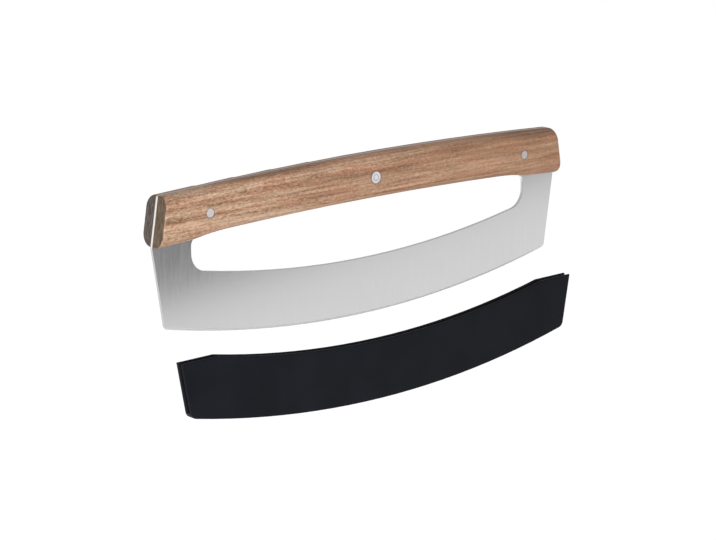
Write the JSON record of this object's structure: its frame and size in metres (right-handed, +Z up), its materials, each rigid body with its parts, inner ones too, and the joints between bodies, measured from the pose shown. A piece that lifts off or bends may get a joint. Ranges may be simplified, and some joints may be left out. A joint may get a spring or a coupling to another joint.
{
  "type": "rocking pizza knife",
  "caption": "Rocking pizza knife: long curved steel blade with a finger window, full-tang wooden handle with riveted scales, and a slotted guard that slides over the cutting edge.",
  "frame": {"origin": "on the centre rivet's axis, halfway through the handle, where a hand holds the knife", "axes": "+X along the knife to the right, -Y towards the front face, +Z up from the cutting edge to the handle's spine"},
  "size_m": [0.3667, 0.0212, 0.1691],
  "materials": {
    "blade_steel": "fine satin stainless steel",
    "handle_wood": "oiled warm brown hardwood with lengthwise grain",
    "rivet_steel": "ground flush, bright",
    "guard_plastic": "matte black moulded plastic"
  },
  "bodies": {
    "knife": {"blade": "blade_steel", "front_scale": "handle_wood", "rear_scale": "handle_wood", "left_pin": "rivet_steel", "right_pin": "rivet_steel", "centre_rivet_tube": "rivet_steel", "centre_rivet_stem": "rivet_steel"},
    "guard": {"blade_guard": "guard_plastic"}
  },
  "joints": [
    {"name": "guard_slide", "type": "slide", "parent": "knife", "child": "guard", "axis": [-0.2997, 0, 0.954], "range_m": [0, 0.06006]}
  ]
}
